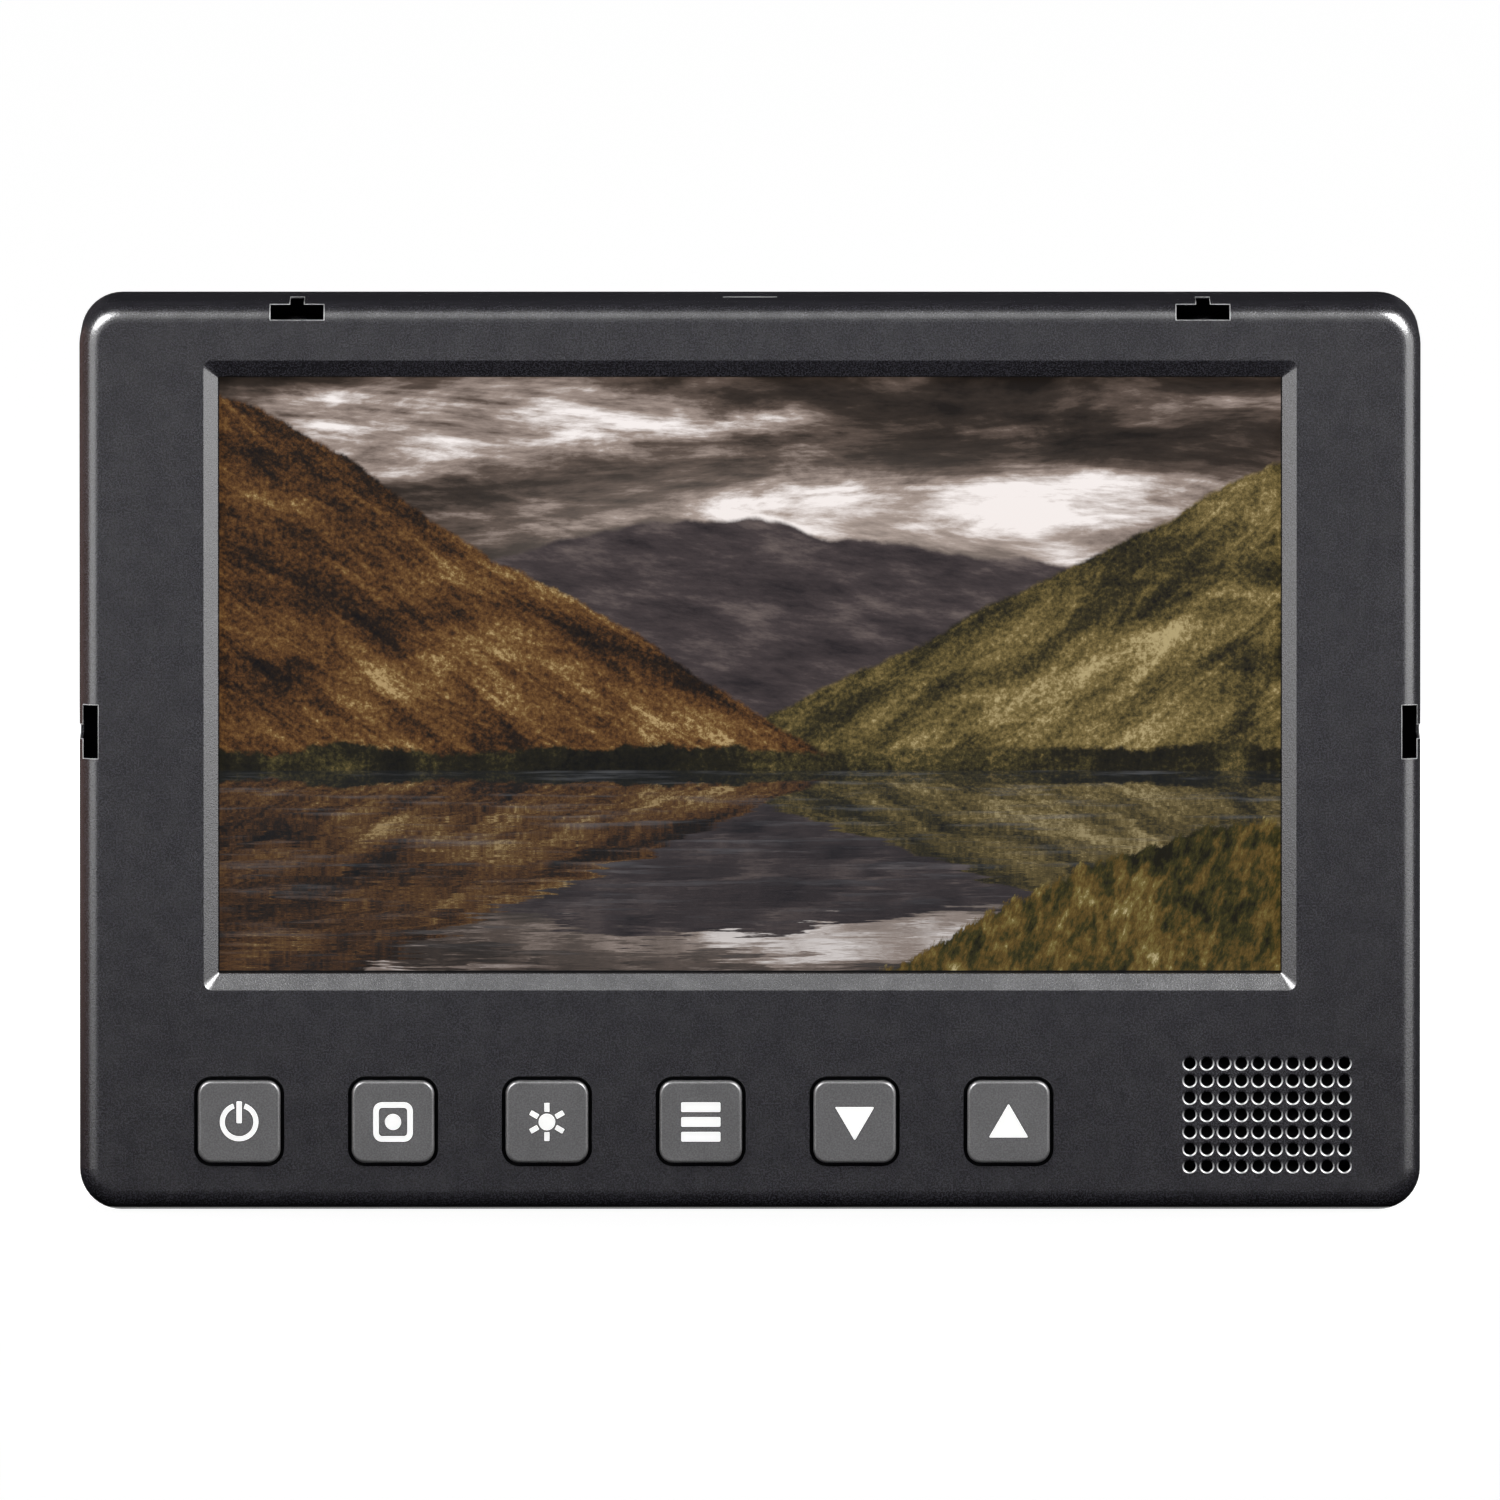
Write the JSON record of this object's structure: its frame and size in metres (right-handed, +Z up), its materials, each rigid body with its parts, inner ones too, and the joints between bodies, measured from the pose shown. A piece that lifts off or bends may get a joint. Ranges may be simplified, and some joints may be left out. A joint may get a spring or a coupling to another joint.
{
  "type": "in-vehicle lcd monitor",
  "caption": "Flat in-vehicle LCD monitor with a bevelled wide screen, a row of square push keys, a drilled loudspeaker grille, hood slots and a rear bolt pattern.",
  "frame": {"origin": "on the bottom plane, midway across the width and midway through the depth from the key caps to the rear pad", "axes": "+X to the viewer's right along the width, +Y from the screen to the back, +Z up"},
  "size_m": [0.1934, 0.0326, 0.1312],
  "materials": {
    "housing": "fine satin grain, charcoal",
    "cover": "fine satin grain, near black",
    "key": "satin grey",
    "screen": "flat panel behind an anti-glare polariser",
    "diffuser": "translucent white film",
    "light_guide": "clear acrylic",
    "panel_metal": "bright pressed sheet",
    "chassis_metal": "zinc plated sheet",
    "screw_black": "black passivated",
    "screw_bright": "zinc plated",
    "brass": "machined",
    "contact": "gold flash",
    "board": "glass epoxy with green solder mask",
    "chip": "moulded epoxy",
    "capacitor": "sleeved aluminium can",
    "ferrite": "sintered ferrite",
    "connector": "natural nylon",
    "socket": "moulded black",
    "insulator": "moulded dark grey",
    "ribbon": "amber polyimide film",
    "ribbon_white": "white flat cable",
    "switch": "moulded black",
    "plunger": "natural acetal",
    "foam": "closed-cell foam",
    "cloth": "black dust cloth",
    "basket": "moulded black",
    "surround": "soft moulded film",
    "diaphragm": "pressed film",
    "copper": "enamelled copper wire",
    "magnet": "nickel plated",
    "lead": "insulated wire"
  },
  "bodies": {
    "housing": {"front_housing": "housing", "rear_cover": "cover", "case_screws": "screw_black", "mount_inserts": "brass", "screen_gasket": "foam", "lcd_frame": "panel_metal", "lcd_glass": "screen", "diffuser_sheet": "diffuser", "light_guide": "light_guide", "led_strip": "diffuser", "lcd_tray": "diffuser", "chassis_plate": "chassis_metal", "chassis_screws": "screw_bright", "board_standoffs": "brass", "main_board": "board", "board_screws": "screw_bright", "video_chips": "chip", "capacitors": "capacitor", "power_inductor": "ferrite", "shield_can": "panel_metal", "board_connectors": "connector", "socket_housing": "socket", "socket_insert": "insulator", "socket_contacts": "contact", "lcd_ribbon": "ribbon", "key_ribbon": "ribbon_white", "key_board": "board", "key_switches": "switch", "key_connector": "connector", "key_board_screws": "screw_bright", "speaker_cloth": "cloth", "speaker_gasket": "foam", "speaker_frame": "basket", "speaker_surround": "surround", "speaker_yoke": "panel_metal", "speaker_magnet": "magnet", "speaker_clamp": "chassis_metal", "speaker_screws": "screw_bright", "speaker_leads": "lead"},
    "power_key": {"power_button": "key", "power_plunger": "plunger"},
    "camera_key": {"camera_button": "key", "camera_plunger": "plunger"},
    "brightness_key": {"brightness_button": "key", "brightness_plunger": "plunger"},
    "menu_key": {"menu_button": "key", "menu_plunger": "plunger"},
    "down_key": {"down_button": "key", "down_plunger": "plunger"},
    "up_key": {"up_button": "key", "up_plunger": "plunger"},
    "speaker_cone": {"speaker_diaphragm": "diaphragm", "voice_coil": "copper"}
  },
  "joints": [
    {"name": "power_press", "type": "slide", "parent": "housing", "child": "power_key", "axis": [0, 1, 0], "range_m": [0, 0.0005], "stiffness_N_per_m": 400},
    {"name": "camera_press", "type": "slide", "parent": "housing", "child": "camera_key", "axis": [0, 1, 0], "range_m": [0, 0.0005], "stiffness_N_per_m": 400},
    {"name": "brightness_press", "type": "slide", "parent": "housing", "child": "brightness_key", "axis": [0, 1, 0], "range_m": [0, 0.0005], "stiffness_N_per_m": 400},
    {"name": "menu_press", "type": "slide", "parent": "housing", "child": "menu_key", "axis": [0, 1, 0], "range_m": [0, 0.0005], "stiffness_N_per_m": 400},
    {"name": "down_press", "type": "slide", "parent": "housing", "child": "down_key", "axis": [0, 1, 0], "range_m": [0, 0.0005], "stiffness_N_per_m": 400},
    {"name": "up_press", "type": "slide", "parent": "housing", "child": "up_key", "axis": [0, 1, 0], "range_m": [0, 0.0005], "stiffness_N_per_m": 400},
    {"name": "cone_travel", "type": "slide", "parent": "housing", "child": "speaker_cone", "axis": [0, 1, 0], "range_m": [-0.0003, 0.0003], "stiffness_N_per_m": 300, "deforming": ["speaker_surround"]}
  ]
}
